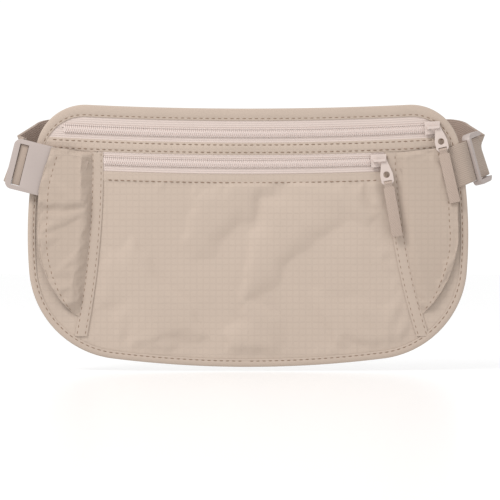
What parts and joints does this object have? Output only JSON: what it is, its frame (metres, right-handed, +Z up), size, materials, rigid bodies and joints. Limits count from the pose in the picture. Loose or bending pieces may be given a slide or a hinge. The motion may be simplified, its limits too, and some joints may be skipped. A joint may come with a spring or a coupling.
{
  "type": "money belt",
  "caption": "Flat fabric waist pouch with curved zips, a stash pocket at each side, and an elastic belt with a side-release buckle and a strap adjuster.",
  "frame": {"origin": "middle of the pouch's flat back, which rests on the wearer", "axes": "+Y points back into the wearer, +X along the pouch towards its zip sliders, +Z up"},
  "size_m": [0.3205, 0.0524, 0.1705],
  "materials": {
    "pouch_fabric": "fine ripstop weave, matte",
    "wing_fabric": "soft fine weave, matte",
    "binding_tape": "ribbed tape, matte",
    "zip_tape": "fine woven tape",
    "zip_coil": "moulded nylon coil",
    "zip_metal": "satin paint",
    "pull_tape": "ribbed tape",
    "buckle_plastic": "satin moulded plastic",
    "webbing": "ribbed elastic webbing"
  },
  "bodies": {
    "pouch": {"back_panel": "pouch_fabric", "pocket_lining": "pouch_fabric", "edge_binding": "binding_tape", "pocket_panel": "pouch_fabric", "left_side_panel": "pouch_fabric", "right_side_panel": "pouch_fabric", "middle_band": "pouch_fabric", "top_zip_tape_upper": "zip_tape", "top_zip_tape_lower": "zip_tape", "front_zip_tape_upper": "zip_tape", "front_zip_tape_lower": "zip_tape", "top_zip_coil_upper": "zip_coil", "top_zip_coil_lower": "zip_coil", "top_zip_chain": "zip_coil", "front_zip_coil_upper": "zip_coil", "front_zip_coil_lower": "zip_coil", "front_zip_chain": "zip_coil", "left_seam_tape": "binding_tape", "right_seam_tape": "binding_tape", "left_wing": "wing_fabric", "right_wing": "wing_fabric", "buckle_plug": "buckle_plastic", "buckle_anchor_tab": "webbing", "strap_right_outer": "webbing", "strap_right_inner": "webbing"},
    "top_slider": {"top_zip_slider": "zip_metal"},
    "top_pull": {"top_zip_pull_tab": "zip_metal"},
    "top_tail": {"top_zip_pull_tail": "pull_tape"},
    "front_slider": {"front_zip_slider": "zip_metal"},
    "front_pull": {"front_zip_pull_tab": "zip_metal"},
    "front_tail": {"front_zip_pull_tail": "pull_tape"},
    "buckle_half": {"buckle_socket": "buckle_plastic", "strap_socket_loop": "webbing", "strap_left_outer": "webbing", "strap_left_inner": "webbing"},
    "upper_prong": {"upper_prong": "buckle_plastic"},
    "lower_prong": {"lower_prong": "buckle_plastic"},
    "adjuster": {"strap_adjuster": "buckle_plastic"}
  },
  "joints": [
    {"name": "top_zip_slide", "type": "hinge", "parent": "pouch", "child": "top_slider", "pos_m": [0, -0.0121, 2.268], "axis": [0, 1, 0], "range_deg": [0, 6.1], "deforming": ["top_zip_chain", "top_zip_pull_tail"]},
    {"name": "top_pull_swing", "type": "hinge", "parent": "top_slider", "child": "top_pull", "pos_m": [0.1229, -0.0156, 0.07143], "axis": [0, 1, 0], "range_deg": [-15, 40]},
    {"name": "top_tail_lift", "type": "hinge", "parent": "top_pull", "child": "top_tail", "pos_m": [0.12631, -0.016, 0.05662], "axis": [-0.9744, 0, -0.225], "range_deg": [0, 80]},
    {"name": "front_zip_slide", "type": "hinge", "parent": "pouch", "child": "front_slider", "pos_m": [0, -0.0121, 2.268], "axis": [0, 1, 0], "range_deg": [0, 4.4], "deforming": ["front_zip_chain"]},
    {"name": "front_pull_swing", "type": "hinge", "parent": "front_slider", "child": "front_pull", "pos_m": [0.0881, -0.0156, 0.05005], "axis": [0, 1, 0], "range_deg": [-15, 40]},
    {"name": "front_tail_lift", "type": "hinge", "parent": "front_pull", "child": "front_tail", "pos_m": [0.09074, -0.016, 0.03508], "axis": [-0.9848, 0, -0.1736], "range_deg": [0, 80]},
    {"name": "buckle_release", "type": "slide", "parent": "pouch", "child": "buckle_half", "axis": [-0.9703, 0, 0.2419], "range_m": [0, 0.018], "deforming": ["upper_prong", "lower_prong"]},
    {"name": "upper_prong_press", "type": "hinge", "parent": "pouch", "child": "upper_prong", "pos_m": [-0.12636, -0.0145, 0.05219], "axis": [0, -1, 0], "range_deg": [0, 20], "stiffness_Nm_per_rad": 0.02},
    {"name": "lower_prong_press", "type": "hinge", "parent": "pouch", "child": "lower_prong", "pos_m": [-0.1312, -0.0145, 0.03278], "axis": [0, 1, 0], "range_deg": [0, 20], "stiffness_Nm_per_rad": 0.02},
    {"name": "adjuster_slide", "type": "slide", "parent": "pouch", "child": "adjuster", "axis": [-0.4361, -0.8796, -0.1901], "range_m": [0, 0.003]}
  ],
  "couplings": [
    {"joint": "lower_prong_press", "follows": "upper_prong_press", "ratio": 1}
  ]
}
